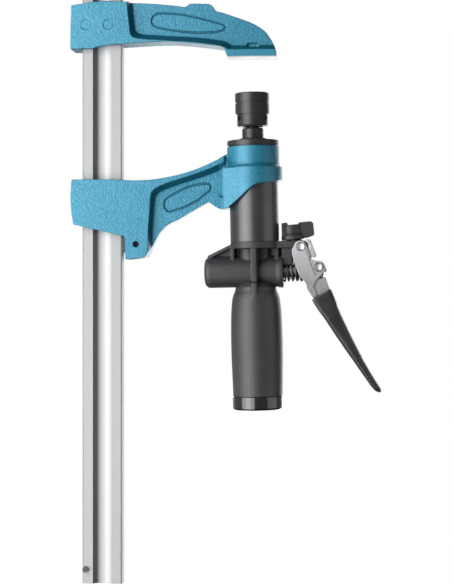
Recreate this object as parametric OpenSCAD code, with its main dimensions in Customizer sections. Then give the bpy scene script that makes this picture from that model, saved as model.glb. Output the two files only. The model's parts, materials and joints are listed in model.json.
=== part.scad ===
// Hydraulic rail clamp: a fixed jaw on a grooved rail, and a sliding arm with a hand pump and ram.
// Origin at the centre of the fixed jaw's pressure face, +Z up along the rail, +X from rail to ram.

/* [Layout] */
// Distance from the rail's near face to the ram line
throat = 113; // [105:1:118]
// Drop from the pressure face to the top of the sliding arm's block
arm_drop = 105.7; // [104:0.1:180]
// Lean of the hydraulic unit towards the rail, in degrees
unit_lean = 1.13; // [0:0.01:1.5]

/* [Rail] */
// Width of the rail
rail_w = 35; // [32:0.5:38]
// Thickness of the rail
rail_t = 15; // [13:0.5:17]
// Length of the rail
rail_len = 516.5; // [500:0.5:800]
// Height of the rail's top above the pressure face
rail_top = 57; // [54:0.5:80]
// Width of the groove's mouth in each face
groove_w = 16.6; // [12:0.1:18]
// Depth of the groove in each face
groove_depth = 3.6; // [2:0.1:4.5]
// Chamfer along the rail's edges
rail_chamfer = 1.2; // [0.5:0.1:2]
// Radius of the stop pin
stop_pin_r = 2.5; // [2:0.1:3]
// Height of the stop pin above the rail's lower end
stop_pin_rise = 12.4; // [8:0.1:18]
// How far the stop pin stands out of each face
stop_pin_out = 3; // [2:0.1:5]

/* [Castings] */
// Thickness of both castings round the rail
casting_t = 28; // [26:0.5:32]
// Thickness of the web between the flanges
web_t = 12; // [9:0.5:14]
// Wall of the castings behind the rail
block_wall = 8; // [6:0.5:12]
// Height of the fixed jaw above its pressure face
jaw_h = 49; // [46:0.5:51]
// Reach of the jaw's nose beyond the ram line
nose_out = 22.5; // [20:0.5:26]
// Reach of the pressure face back from the ram line
nose_in = 20.2; // [18:0.5:24]
// Width of the pressure face
nose_t = 26; // [22:0.5:28]
// Height of the nose's ledge above the pressure face
nose_ledge = 6; // [4:0.5:8]
// Radius of the rivets in the fixed jaw
rivet_r = 4.3; // [3:0.1:5]
// Height of the sliding arm's block and foot
arm_h = 69; // [66:0.5:76]
// Rise of the boss above the arm's block
boss_rise = 28.4; // [24:0.1:32]
// Width of the cartouche groove on the webs
scribe_w = 1.6; // [0.8:0.1:2]
// Depth of the cartouche groove
scribe_depth = 1.2; // [0.4:0.1:1.5]

/* [Brake] */
// Radius of the brake's cross pin
brake_pin_r = 2.5; // [2:0.1:3]
// Gap between the rail and the arm's foot
foot_gap = 3.6; // [3.2:0.1:5]
// Height of the brake shoe's face
shoe_h = 13.6; // [11:0.1:15]
// Width of the brake shoe's face
shoe_w = 20; // [16:0.5:24]

/* [Cylinder and ram] */
// Outer radius of the cylinder tube
tube_r = 21.4; // [20:0.05:22]
// Radius of the cylinder's bore
bore_r = 13; // [12:0.1:13.6]
// Radius of the tube's upper neck in the boss
neck_r = 17; // [16.4:0.1:18]
// Length of tube that shows below the boss
tube_shown = 53.2; // [45:0.1:75]
// Radius of the ram
rod_r = 9.4; // [8.6:0.1:9.8]
// Height of the ram's shoulder above the boss
rod_rise = 16.3; // [15.5:0.1:20]
// Stroke of the ram
ram_stroke = 26; // [20:0.5:27]
// Thickness of the piston
piston_h = 12; // [9:0.5:14]
// Radius of the gland nut's flange
nut_r = 22.6; // [21:0.1:24]
// Thickness of the gland nut's flange
nut_h = 5.3; // [5:0.1:7]
// Outer radius of the wiper ring
wiper_r = 12.2; // [11.5:0.1:14]
// How far the wiper ring stands above the nut
wiper_out = 1.9; // [1:0.1:3]
// Radius of the boss's upper collar
collar_r = 22.9; // [22.6:0.1:24]
// Height of the boss's upper collar
collar_h = 16.2; // [14:0.1:20]
// Radius of the boss below the collar
ring_r = 25.2; // [24.5:0.1:27]
// Height of the boss from its top to its lowest rim
skirt_h = 55; // [50:0.5:58]

/* [Swivel pad] */
// Radius of the pressure cap and the cup's upper part
cap_r = 15; // [14.6:0.1:17]
// Height of the pressure cap
cap_h = 8.6; // [6:0.1:12]
// Height of the cup's wide part
cup_h = 9.8; // [9:0.1:14]
// Height of the cup's skirt
skirt_cup_h = 10.8; // [9.5:0.1:12]
// Radius of the cup's skirt
cup_skirt_r = 13.5; // [12.8:0.1:14]
// Radius of the ball on the ram
ball_r = 7.6; // [7.2:0.1:7.8]
// Radius of the cup's retaining screws
cup_screw_r = 2; // [1.6:0.1:2.2]

/* [Pump housing] */
// Thickness of the housing's top plate
plate_h = 6; // [5.6:0.1:9]
// Radius of the cross tube
cross_r = 13.6; // [12.5:0.1:14.5]
// Depth of the cross tube's axis below the plate's top
cross_drop = 26.1; // [25.4:0.1:30]
// Reach of the cross tube on the lever's side
cross_out = 24.5; // [23:0.1:26]
// Reach of the cross tube on the rail's side
cross_in = 44.3; // [38:0.1:50]
// Rounding of the cross tube's closed end
cross_round = 5; // [2:0.5:7]
// Thickness of the housing's ribs
rib_t = 4.6; // [3:0.1:6]
// Thickness of the thin webs and struts
strut_t = 3; // [2:0.1:4]
// Distance from the unit's axis to the lever's pivot pin
pivot_x = 40.1; // [38:0.1:43]
// Depth of the pivot pin's axis below the plate's top
pivot_drop = 5.3; // [5.1:0.1:8]
// Half the width of the housing's lug, and of the plunger's side room
lug_half = 10; // [9.8:0.1:12]
// Radius of the lug's end round the pivot pin
lug_r = 6.4; // [6:0.1:6.5]

/* [Handle] */
// Widest radius of the grip
grip_r = 22.6; // [21:0.1:24]
// Length of the grip from its shoulder to the end cap
grip_len = 98; // [90:0.1:130]
// Wall of the grip
grip_wall = 3; // [2.4:0.1:3.6]
// Radius of the end cap
end_cap_r = 22.2; // [21.8:0.1:24]
// Height of the end cap
end_cap_h = 11.4; // [10:0.1:16]

/* [Pump] */
// Radius of the pump plunger
plunger_r = 6; // [5:0.1:6.5]
// Distance from the lever's pivot to the drive pin, across
drive_out = 15; // [14:0.1:16.5]
// Distance from the lever's pivot to the drive pin, down
drive_down = 18.2; // [17.5:0.1:19]
// Outer radius of the return spring
spring_r = 9.5; // [9:0.1:9.7]
// Radius of the return spring's wire
spring_wire_r = 1; // [0.8:0.05:1.2]
// Turns of the return spring
spring_turns = 6; // [4:1:6]
// Thickness of the spring collar
spring_collar_t = 2; // [1.5:0.1:3]

/* [Lever] */
// Distance from the pivot to the lever's tip
lever_len = 144; // [130:1:170]
// Thickness of the yoke's plates
plate_t = 2.5; // [2:0.1:3]
// Radius of the lever's cross pins
pin_r = 2.6; // [2.2:0.1:3]
// Radius of the clips on the cross pins
clip_r = 3.9; // [3.4:0.1:4.4]
// Thickness of the clips on the cross pins
clip_t = 0.8; // [0.5:0.1:1.2]
// Squeeze of the lever, in degrees
lever_squeeze = 25; // [15:1:25]
// Width of the sleeve at its mouth
sleeve_w = 19.2; // [17:0.1:22]
// Thickness of the sleeve at its mouth
sleeve_t = 30; // [29.5:0.1:34]
// Wall of the sleeve round the lever's stem
sleeve_wall = 1.2; // [1:0.1:1.4]

/* [Release knob] */
// Radius of the knob's hub
knob_r = 8.6; // [8:0.1:9]
// Height of the knob from its seat to its top
knob_h = 14; // [12:0.1:16]
// Height of the knob's lower collar
knob_collar_h = 6.3; // [4:0.1:8]
// Reach of the knob's wing from its axis
wing_out = 18.9; // [15:0.1:21]
// Rise of the wing above the hub
wing_rise = 1.5; // [1:0.1:5]
// Width of the knob's wing
wing_w = 9; // [6:0.1:12]
// Lean of the knob's spindle, in degrees
knob_lean = 4.5; // [0:0.1:5]
// Radius of the release valve's spindle
spindle_r = 3; // [2.5:0.1:3.4]

/* [Hidden] */
$fn = 96;

// Radial clearance of a running fit
run_gap = 0.05;
// Clearance between pieces that are fixed in each other
fit_gap = 0.05;
// Side clearance between faces that pass each other
side_gap = 0.3;
// Clearance of the castings on the rail
rail_gap = 0.25;
// Overrun of every cut past the surface that it opens
over = 1;
// Steps between the knots of a smooth outline
smooth_steps = 6;
// Sides of a faceted round
facet_fn = 32;

rail_back = -throat - rail_w;
rail_mid = -throat - rail_w / 2;
rail_end = rail_top - rail_len;
arm_top = -arm_drop;
boss_top = arm_top + boss_rise;

// Unit heights, measured from the boss's top face
tube_end = -skirt_h * 0.54 - tube_shown;
plate_end = tube_end - plate_h;
cross_z = tube_end - cross_drop;
pivot_z = tube_end - pivot_drop;
drive_x = pivot_x + drive_out;
drive_z = pivot_z - drive_down;
grip_top = cross_z - cross_r;
grip_end = grip_top - grip_len + grip_r * 0.12;
cap_bottom = grip_end - end_cap_h;
ball_z = rod_rise + ball_r * 1.62;
cup_low = rod_rise + ball_r * 0.18;
cup_step = cup_low + skirt_cup_h;
cup_top = cup_step + cup_h;
tube_step = -collar_h - web_t * 0.12;
spigot_end = tube_end - plate_h * 0.6;
lever_in = lug_half + side_gap;
lever_out = lever_in + plate_t;

function shift(points, by) = [for (p = points) p + by];
function scaled(shares, size) = [for (s = shares) [s.x * size.x, s.y * size.y]];
function blend(a, b, c, d, t) =
    (2 * b + (c - a) * t + (2 * a - 5 * b + 4 * c - d) * t * t
        + (3 * b - a - 3 * c + d) * t * t * t) / 2;
function smooth(p) = concat(
    [for (i = [0 : len(p) - 2]) for (j = [0 : smooth_steps - 1])
        blend(p[max(i - 1, 0)], p[i], p[i + 1], p[min(i + 2, len(p) - 1)], j / smooth_steps)],
    [p[len(p) - 1]]);
function smooth_loop(p) = [for (i = [0 : len(p) - 1]) for (j = [0 : smooth_steps - 1])
    blend(p[(i + len(p) - 1) % len(p)], p[i], p[(i + 1) % len(p)], p[(i + 2) % len(p)],
        j / smooth_steps)];
function arc(centre, r, from, to, steps) =
    [for (i = [0 : steps]) centre + r * [cos(from + (to - from) * i / steps),
        sin(from + (to - from) * i / steps)]];
// A point of an arm: across as a share of the throat from the rail, up as a share of a height
function reach(share, h) = [(share.x - 1) * throat, share.y * h];
function reaches(shares, h) = [for (s = shares) reach(s, h)];

// A flat outline in X and Z, extruded evenly to both sides of Y = 0
module slab(points, t) {
    rotate([90, 0, 0]) linear_extrude(t, center = true) polygon(points);
}

// A solid between two outlines with the same number of points
module loft(low, high, z0, z1) {
    n = len(low);
    polyhedron(
        points = concat([for (p = low) [p.x, p.y, z0]], [for (p = high) [p.x, p.y, z1]]),
        faces = concat(
            [[for (i = [0 : n - 1]) i]],
            [[for (i = [n - 1 : -1 : 0]) n + i]],
            [for (i = [0 : n - 1]) each [
                [i, n + i, n + (i + 1) % n], [i, n + (i + 1) % n, (i + 1) % n]]]));
}

// Recesses of both faces of a casting, their walls drawn in by the draft down to the web
module recesses(mouth, draft) {
    depth = (casting_t - web_t) / 2;
    for (side = [0, 1]) mirror([0, side, 0]) rotate([90, 0, 0])
        loft(shift(mouth, draft), shift(mouth, -draft * over / depth),
            web_t / 2, casting_t / 2 + over);
}

// A groove along a closed outline in both faces of the web
module scribe(points) {
    for (side = [0, 1]) mirror([0, side, 0]) rotate([90, 0, 0])
        translate([0, 0, web_t / 2 - scribe_depth]) linear_extrude(scribe_depth + over)
            difference() {
                offset(delta = scribe_w / 2) polygon(points);
                offset(delta = -scribe_w / 2) polygon(points);
            }
}

// A ring with a round or flat section, from its inner and outer radius
module ring(inner, outer, h) {
    rotate_extrude() translate([inner, 0]) square([outer - inner, h]);
}

// A cylinder along Y, centred on Y = 0
module cross_pin(r, length) {
    rotate([90, 0, 0]) cylinder(r = r, h = length, center = true);
}

// The leaning frame of the hydraulic unit, its zero at the boss's top face
module unit() {
    rotate([0, -unit_lean, 0]) translate([0, 0, boss_top]) children();
}

// The lever's frame: zero at the pivot pin
module at_pivot() {
    unit() translate([pivot_x, 0, pivot_z]) children();
}

// The release knob's frame: zero at its seat on the lug
module at_seat() {
    translate([knob_x, 0, tube_end]) rotate([0, -knob_lean, 0]) children();
}
module at_knob() {
    unit() at_seat() children();
}

// Coil springs

coil_rings = 8;
coil_sides = 6;
function coil_axis(mid_r, length, turns, wire, a) =
    [mid_r * cos(360 * a), mid_r * sin(360 * a), wire + (length - 2 * wire) * a / turns];
// Centre line: a straight lead of one wire diameter, the turns, and a straight lead out
function coil_path(mid_r, length, turns, wire) = let (
    steps = turns * coil_rings,
    turn = [for (i = [0 : steps]) coil_axis(mid_r, length, turns, wire, i / coil_rings)],
    lead = 2 * wire)
    concat([turn[0] - [0, lead, 0]], turn, [turn[steps] + [0, lead, 0]]);
function unit_vector(v) = v / norm(v);
function ring_points(path, i, wire) = let (
    last = len(path) - 1,
    dir = unit_vector(path[min(i + 1, last)] - path[max(i - 1, 0)]),
    side = unit_vector(cross(dir, [0, 0, 1])),
    up = cross(side, dir))
    [for (k = [0 : coil_sides - 1])
        path[i] + wire * (side * cos(360 * k / coil_sides) + up * sin(360 * k / coil_sides))];
module coil(mid_r, length, turns, wire) {
    path = coil_path(mid_r, length, turns, wire);
    rings = len(path);
    m = coil_sides;
    polyhedron(
        points = [for (i = [0 : rings - 1]) each ring_points(path, i, wire)],
        faces = concat(
            [[for (k = [0 : m - 1]) k]],
            [[for (k = [m - 1 : -1 : 0]) (rings - 1) * m + k]],
            [for (i = [0 : rings - 2]) for (k = [0 : m - 1]) each [
                [i * m + k, (i + 1) * m + k, (i + 1) * m + (k + 1) % m],
                [i * m + k, (i + 1) * m + (k + 1) % m, i * m + (k + 1) % m]]]));
}
// Least distance between points of the centre line that are half a turn or more apart,
// less one wire diameter
function coil_gap(mid_r, length, turns, wire) = let (
    path = coil_path(mid_r, length, turns, wire),
    apart = coil_rings / 2)
    min([for (i = [0 : len(path) - 1 - apart]) for (j = [i + apart : len(path) - 1])
        norm(path[i] - path[j])]) - 2 * wire;

// Rail

groove_shares = [[-0.5, 0], [-0.33, 0.72], [-0.16, 1], [0.16, 1], [0.33, 0.72], [0.5, 0]];

module rail() color("silver") {
    half_w = rail_w / 2;
    half_t = rail_t / 2;
    section = [
        [-half_w, -half_t + rail_chamfer], [-half_w + rail_chamfer, -half_t],
        [half_w - rail_chamfer, -half_t], [half_w, -half_t + rail_chamfer],
        [half_w, half_t - rail_chamfer], [half_w - rail_chamfer, half_t],
        [-half_w + rail_chamfer, half_t], [-half_w, half_t - rail_chamfer]];
    groove = smooth(scaled(groove_shares, [groove_w, groove_depth]));
    difference() {
        translate([rail_mid, 0, rail_end]) linear_extrude(rail_len) difference() {
            polygon(section);
            for (side = [0, 1]) mirror([0, side]) translate([0, -half_t])
                polygon(concat(groove, [[groove_w / 2, -over], [-groove_w / 2, -over]]));
        }
        stop_pin_place() cross_pin(stop_pin_r + fit_gap, rail_t + 2 * over);
        for (place = rivet_places) translate(place) cross_pin(rivet_r + fit_gap, rail_t + 2 * over);
    }
}

module stop_pin_place() {
    translate([rail_back + stop_pin_r + stop_pin_r / 9, 0, rail_end + stop_pin_rise]) children();
}

module rail_stop_pin() color("gainsboro") {
    stop_pin_place() cross_pin(stop_pin_r, rail_t + 2 * stop_pin_out);
}

// Fixed jaw

rivet_shares = [[0.11, 0.6], [0.68, 0.6]];
rivet_places = [for (s = rivet_shares) [rail_back + s.x * rail_w, 0, s.y * jaw_h]];
jaw_block_shares = [[-1.13, 0.95], [-1.2, 0.6], [-1.235, 0.169]];
jaw_under_rail_shares = [[0.297, 0.18], [0.594, 0.23]];
jaw_under_shares = [[0.071, 0.262], [0.293, 0.282], [0.472, 0.272], [0.767, 0.188]];
jaw_throat_shares = [[-1.12, 0.13], [-1.07, 0.082], [-1, 0]];
jaw_nose_shares = [[1, 0], [0.995, 0.086], [0.93, 0.185], [0.75, 0.343], [0.517, 0.477],
    [0.05, 0.613]];
jaw_top_shares = [[0.875, 0.732], [0.731, 0.837], [0.508, 0.914], [0.283, 0.975], [0.06, 1.004]];
jaw_crown_shares = [[0.44, 1.016]];
jaw_bump_shares = [[0.486, 0.897], [0.504, 0.942], [0.531, 0.978], [0.6, 0.976], [0.675, 0.968],
    [0.7, 0.938], [0.732, 0.832]];
jaw_mouth_shares = [[0.04, 1.3], [0.048, 0.96], [0.069, 0.484], [0.084, 0.392], [0.124, 0.349],
    [0.182, 0.331], [0.427, 0.292], [0.6, 0.26], [0.767, 0.202]];
jaw_scribe_shares = [[0.231, 0.69], [0.262, 0.79], [0.32, 0.81], [0.464, 0.785], [0.60, 0.72],
    [0.70, 0.655], [0.79, 0.595], [0.80, 0.53], [0.761, 0.478], [0.66, 0.458], [0.553, 0.461],
    [0.44, 0.49], [0.329, 0.535], [0.253, 0.588]];
jaw_draft_shares = [0.107, 0.16];
jaw_slot_shares = [[-0.14, 0.155], [-0.14, 0.25], [-0.1, 0.265], [0.24, 0.262], [0.3, 0.25],
    [0.3, 0.155]];

module fixed_jaw() color([0.3, 0.66, 0.78]) {
    block = [for (s = jaw_block_shares) [rail_back + s.x * block_wall, s.y * jaw_h]];
    under_rail = [for (s = jaw_under_rail_shares) [rail_back + s.x * rail_w, s.y * jaw_h]];
    crown = [for (s = jaw_crown_shares) [rail_back + s.x * rail_w, s.y * jaw_h]];
    under = smooth(concat(under_rail, reaches(jaw_under_shares, jaw_h),
        scaled(jaw_throat_shares, [nose_in, jaw_h])));
    top = smooth(concat(scaled(jaw_nose_shares, [nose_out, jaw_h]),
        reaches(jaw_top_shares, jaw_h), crown, [block[0]]));
    outline = concat(block, under, top);
    spine_rise = web_t / 8;
    spine_t = casting_t * 0.6;
    nose_right = nose_out + over;
    mouth = concat(smooth(reaches(jaw_mouth_shares, jaw_h)),
        [[-nose_in * 0.96, nose_ledge], [nose_right, nose_ledge], [nose_right, jaw_h * 1.3]]);
    slot = scaled(jaw_slot_shares, [nose_out, jaw_h]);
    slot_depth = web_t / 6;
    difference() {
        union() {
            intersection() {
                slab(outline, casting_t);
                union() {
                    translate([rail_back - 2 * block_wall, -casting_t / 2, -over])
                        cube([throat + rail_w + 2 * block_wall - nose_in * 1.2, casting_t,
                            jaw_h + 2 * over]);
                    translate([-nose_in * 1.2 - over, -nose_t / 2, -over])
                        cube([nose_out + nose_in * 1.2 + 2 * over, nose_t, jaw_h + 2 * over]);
                }
            }
            slab(concat(shift(crown, [0, spine_rise]), [block[0] + [spine_rise, spine_rise / 2]],
                [block[1], reach([0.05, 0.6], jaw_h), reach([0.03, 0.992], jaw_h)]), spine_t);
            slab(reaches(jaw_bump_shares, jaw_h), web_t);
        }
        recesses(mouth, [jaw_draft_shares.x * casting_t, jaw_draft_shares.y * casting_t]);
        scribe(smooth_loop(reaches(jaw_scribe_shares, jaw_h)));
        for (side = [-1, 1]) translate([0, side * web_t / 2, 0]) slab(slot, 2 * slot_depth);
        rail_window(0, jaw_h * 3);
        for (place = rivet_places)
            translate(place) cross_pin(rivet_r + fit_gap, casting_t + 2 * over);
    }
}

module rail_window(z, h) {
    translate([rail_back - rail_gap, -rail_t / 2 - rail_gap, z - h / 2])
        cube([rail_w + 2 * rail_gap, rail_t + 2 * rail_gap, h]);
}

module jaw_rivets() color([0.3, 0.66, 0.78]) {
    for (place = rivet_places) translate(place) cross_pin(rivet_r, casting_t);
}

// Sliding arm

arm_back_shares = [[-1.1, 0], [-1.17, -0.12], [-1.205, -0.25], [-1.13, -0.4], [-0.9, -0.569]];
arm_foot_shares = [[0.039, -1.012], [0.174, -0.985], [0.202, -0.942], [0.238, -0.837],
    [0.291, -0.677], [0.352, -0.574], [0.433, -0.509], [0.487, -0.459], [0.584, -0.366],
    [0.665, -0.292], [0.682, -0.298], [0.721, -0.343], [0.758, -0.374], [0.785, -0.382]];
arm_top_shares = [[0.8, 0.29], [0.738, 0.235], [0.592, 0.129], [0.443, 0.054],
    [0.294, 0.007], [0.209, -0.008], [0.096, -0.014]];
arm_block_top_shares = [[0.88, -0.003], [0.353, 0.002]];
arm_mouth_shares = [[0.204, -1.1], [0.212, -0.642], [0.222, -0.42], [0.232, -0.21],
    [0.257, -0.13], [0.346, -0.058], [0.494, 0.02], [0.642, 0.1], [0.8, 0.21]];
arm_root_shares = [[0.8, 0.284], [0.88, 0.34], [0.88, -0.2], [0.795, -0.2], [0.79, 0.13],
    [0.797, 0.2]];
arm_draft_shares = [0.085, -0.115];
arm_gusset_shares = [[0.682, -0.31], [0.702, -0.27], [0.725, -0.24], [0.755, -0.22],
    [0.785, -0.238]];
arm_scribe_shares = [[0.33, -0.31], [0.352, -0.235], [0.437, -0.157], [0.535, -0.085],
    [0.66, -0.053], [0.689, -0.078], [0.685, -0.143], [0.64, -0.2], [0.586, -0.271],
    [0.486, -0.351], [0.43, -0.38], [0.372, -0.403], [0.34, -0.37]];
skirt_shares = [[1.2, -0.535], [0.95, -0.54], [0.84, -0.564], [0.5, -0.582], [0.247, -0.6],
    [0.027, -0.64], [-0.259, -0.747], [-0.596, -0.876], [-0.867, -0.964], [-1.02, -0.99],
    [-1.12, -0.985]];
cheek_shares = [[-1.03, -0.62], [-0.425, -0.902], [0, 0], [-0.425, 0.902], [-1.03, 0.62]];
brake_shares = [0.116, -0.822];
brake_place = [(brake_shares.x - 1) * throat, 0, arm_top + brake_shares.y * arm_h];
shoe_slot_half = shoe_w / 5;

module sliding_arm() color([0.34, 0.7, 0.82]) {
    back = [for (s = arm_back_shares) [rail_back + s.x * block_wall, s.y * arm_h]];
    block_top = [for (s = arm_block_top_shares) [rail_back + s.x * rail_w, s.y * arm_h]];
    foot_left = [-throat + foot_gap, brake_shares.y * arm_h + shoe_h * 0.48 + side_gap];
    lower = smooth(reaches(arm_foot_shares, arm_h));
    upper = smooth(concat(reaches(arm_top_shares, arm_h), block_top, [back[0]]));
    outline = concat(smooth(back), [foot_left, [foot_left.x, lower[0].y]], lower,
        [reach([0.8, -0.34], arm_h)], upper);
    mouth = concat([reach([0.9, -1.1], arm_h), reach([0.9, 0.21], arm_h)],
        reverse(smooth(reaches(arm_mouth_shares, arm_h))));
    gusset = concat(smooth(reaches(arm_gusset_shares, arm_h)),
        reaches([[0.9, -0.25], [0.9, -0.5], [0.682, -0.5]], arm_h));
    difference() {
        union() {
            translate([0, 0, arm_top]) difference() {
                slab(outline, casting_t);
                difference() {
                    recesses(mouth, [arm_draft_shares.x * casting_t, arm_draft_shares.y * casting_t]);
                    slab(gusset, 2 * casting_t);
                }
                scribe(smooth_loop(reaches(arm_scribe_shares, arm_h)));
            }
            translate([0, 0, arm_top]) slab(reaches(arm_root_shares, arm_h), casting_t * 0.64);
            unit() boss();
        }
        unit() {
            translate([0, 0, tube_step]) cylinder(r = neck_r + fit_gap, h = over - tube_step);
            translate([0, 0, -skirt_h - over])
                cylinder(r = tube_r + fit_gap, h = skirt_h + over + tube_step);
        }
        rail_window(arm_top, arm_h * 3);
        translate(brake_place) {
            cross_pin(brake_pin_r + fit_gap, casting_t + 2 * over);
            shoe_slot();
        }
        brake_spring_place() rotate([0, 90, 0])
            cylinder(r = brake_spring_r + side_gap, h = brake_bore);
    }
}

function reverse(p) = [for (i = [len(p) - 1 : -1 : 0]) p[i]];

// The boss: collar, wider ring, and a skirt cut off along an S below it
module boss() {
    step_h = ring_r - collar_r;
    side = [for (s = skirt_shares) [s.x * ring_r, s.y * skirt_h]];
    rotate_extrude() polygon([
        [0, 0], [collar_r, 0], [collar_r, -collar_h], [ring_r, -collar_h - step_h],
        [ring_r, -skirt_h / 2], [0, -skirt_h / 2]]);
    intersection() {
        slab(concat([[side[0].x, -collar_h - step_h]], smooth(side),
            [[side[len(side) - 1].x, -collar_h - step_h]]), 3 * ring_r);
        union() {
            translate([0, 0, -skirt_h]) cylinder(r = ring_r, h = skirt_h);
            translate([0, 0, -skirt_h]) linear_extrude(skirt_h) polygon(ring_r * cheek_shares);
        }
    }
}

// Room for the brake shoe's tongue in the foot
module shoe_slot() {
    back = shoe_h * 0.45;
    translate([-throat - brake_place.x, -shoe_slot_half - side_gap, -shoe_h * 0.5])
        cube([throat + brake_place.x + back, 2 * (shoe_slot_half + side_gap), shoe_h * 0.85]);
}

brake_gap = 0.4;
brake_spring_r = 1.9;
brake_spring_wire = 0.3;
brake_bore = shoe_w * 0.3;
shoe_back = -throat + foot_gap - side_gap;

module brake_spring_place() {
    translate([-throat + foot_gap, shoe_w * 0.36, brake_place.z - shoe_h * 0.3]) children();
}

module brake_shoe() color([0.12, 0.12, 0.12]) {
    face_x = -throat + brake_gap;
    difference() {
        union() {
            translate([face_x, -shoe_w / 2, brake_place.z - shoe_h * 0.52])
                cube([shoe_back - face_x, shoe_w, shoe_h]);
            translate([face_x, -shoe_slot_half, brake_place.z - shoe_h * 0.28])
                cube([brake_place.x - face_x, 2 * shoe_slot_half, shoe_h * 0.56]);
            translate(brake_place) cross_pin(shoe_h * 0.28, 2 * shoe_slot_half);
        }
        translate(brake_place) cross_pin(brake_pin_r + run_gap, shoe_w);
    }
}

module brake_pin() color("dimgray") {
    translate(brake_place) cross_pin(brake_pin_r, casting_t * 0.8);
}

module brake_spring() color("silver") {
    brake_spring_place() translate([-side_gap * 0.6, 0, 0]) rotate([0, 90, 0])
        coil(brake_spring_r - brake_spring_wire, brake_spring_len, brake_turns, brake_spring_wire);
}
brake_turns = 4;
brake_spring_len = brake_bore + side_gap * 0.4;

// Cylinder, gland nut and ram

gland_h = bore_r;

module cylinder_tube() color([0.14, 0.14, 0.15]) unit() {
    rotate_extrude() polygon([
        [bore_r, 0], [neck_r, 0], [neck_r, tube_step - fit_gap],
        [tube_r, tube_step - fit_gap], [tube_r, tube_end], [neck_r, tube_end],
        [neck_r, spigot_end], [bore_r, spigot_end]]);
}

module gland_nut() color([0.2, 0.2, 0.2]) unit() {
    lip = nut_h / 12;
    undercut = nut_h / 5;
    pocket_r = wiper_r - nut_h * 0.2;
    rotate_extrude() polygon([
        [rod_r + run_gap, -gland_h], [bore_r - fit_gap, -gland_h], [bore_r - fit_gap, 0],
        [nut_r - undercut, 0], [nut_r - undercut, undercut], [nut_r, undercut], [nut_r, nut_h - lip],
        [nut_r - lip, nut_h], [pocket_r, nut_h], [pocket_r, nut_h / 2],
        [rod_r + run_gap, nut_h / 2]]);
}

module rod_wiper() color([0.1, 0.1, 0.1]) unit() {
    pocket_r = wiper_r - nut_h * 0.2;
    bevel = wiper_out / 3;
    rotate_extrude() polygon([
        [rod_r + run_gap, nut_h / 2 + fit_gap], [pocket_r - fit_gap, nut_h / 2 + fit_gap],
        [pocket_r - fit_gap, nut_h + fit_gap], [wiper_r, nut_h + fit_gap],
        [wiper_r, nut_h + wiper_out - bevel], [wiper_r - bevel, nut_h + wiper_out],
        [rod_r + run_gap, nut_h + wiper_out]]);
}

ball_neck_r = ball_r * 0.56;
rod_chamfer = rod_r / 9;
ram_wire_r = 1;
ram_turns = 8;
ram_spring_solid = (ram_turns + 1) * 2 * ram_wire_r;
piston_top = -gland_h - ram_stroke - ram_spring_solid;
piston_bottom = piston_top - piston_h;
screw_z = ball_z - ball_r * 0.53;

module ram_rod() color([0.17, 0.17, 0.17]) unit() {
    rotate_extrude() polygon([
        [0, piston_bottom], [rod_r * 0.6, piston_bottom], [rod_r * 0.6, piston_top],
        [rod_r, piston_top], [rod_r, rod_rise - rod_chamfer], [rod_r - rod_chamfer, rod_rise],
        [ball_neck_r, rod_rise], [ball_neck_r, ball_z], [0, ball_z]]);
    translate([0, 0, ball_z]) sphere(r = ball_r);
}

module piston() color("darkgray") unit() {
    groove = piston_h / 4;
    rotate_extrude() polygon([
        [rod_r * 0.6 + fit_gap, piston_bottom], [bore_r - run_gap, piston_bottom],
        [bore_r - run_gap, piston_bottom + groove], [bore_r - seal_t, piston_bottom + groove],
        [bore_r - seal_t, piston_bottom + 2 * groove], [bore_r - run_gap, piston_bottom + 2 * groove],
        [bore_r - run_gap, piston_top], [rod_r * 0.6 + fit_gap, piston_top]]);
}
seal_t = 2;

module piston_seal() color([0.1, 0.1, 0.1]) unit() {
    groove = piston_h / 4;
    translate([0, 0, piston_bottom + groove + fit_gap])
        ring(bore_r - seal_t + fit_gap, bore_r - run_gap, groove - 2 * fit_gap);
}

ram_spring_mid = (bore_r + rod_r) / 2;
ram_spring_len = -gland_h - piston_top - 2 * fit_gap;

module ram_return_spring() color("gray") unit() {
    translate([0, 0, piston_top + fit_gap])
        coil(ram_spring_mid, ram_spring_len, ram_turns, ram_wire_r);
}

// Swivel pad

seat_r = ball_r + side_gap / 2;
seat_wall = 1.2;
cup_bore = seat_r + seat_wall + fit_gap;
cap_groove = 0.7;

// Cup above the ball's equator, trapped between the ball and the cup
module swivel_seat() color("goldenrod") unit() {
    difference() {
        translate([0, 0, ball_z - ball_r * 0.2])
            cylinder(r = seat_r + seat_wall, h = ball_r * 1.2 + seat_wall);
        translate([0, 0, ball_z]) sphere(r = seat_r);
        translate([0, 0, ball_z - ball_r]) cylinder(r = seat_r, h = ball_r);
    }
}

module swivel_cup() color([0.2, 0.2, 0.2]) unit() {
    bevel = cup_skirt_r / 12;
    relief = cup_bore + seat_wall / 3;
    seat_top = ball_z + ball_r + seat_wall + fit_gap;
    difference() {
        rotate_extrude() polygon([
            [relief, cup_low], [cup_skirt_r - bevel, cup_low], [cup_skirt_r, cup_low + bevel],
            [cup_skirt_r, cup_step], [cap_r, cup_step], [cap_r, cup_top - cap_groove],
            [cap_r - cap_groove, cup_top - cap_groove], [cap_r - cap_groove, cup_top],
            [0, cup_top], [0, seat_top], [cup_bore, seat_top], [cup_bore, cup_low + 2 * bevel],
            [relief, cup_low + bevel]]);
        for (a = [0 : 120 : 240]) rotate([0, 0, a + screw_turn]) translate([0, 0, screw_z])
            rotate([0, 90, 0]) cylinder(r = cup_screw_r + fit_gap, h = cap_r);
    }
}
screw_turn = -25;
screw_tip = ball_r * 0.985;

module cup_screws() color("dimgray") unit() {
    for (a = [0 : 120 : 240]) rotate([0, 0, a + screw_turn]) translate([screw_tip, 0, screw_z])
        rotate([0, 90, 0]) cylinder(r = cup_screw_r, h = cup_skirt_r - screw_tip - cap_groove);
}

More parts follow.
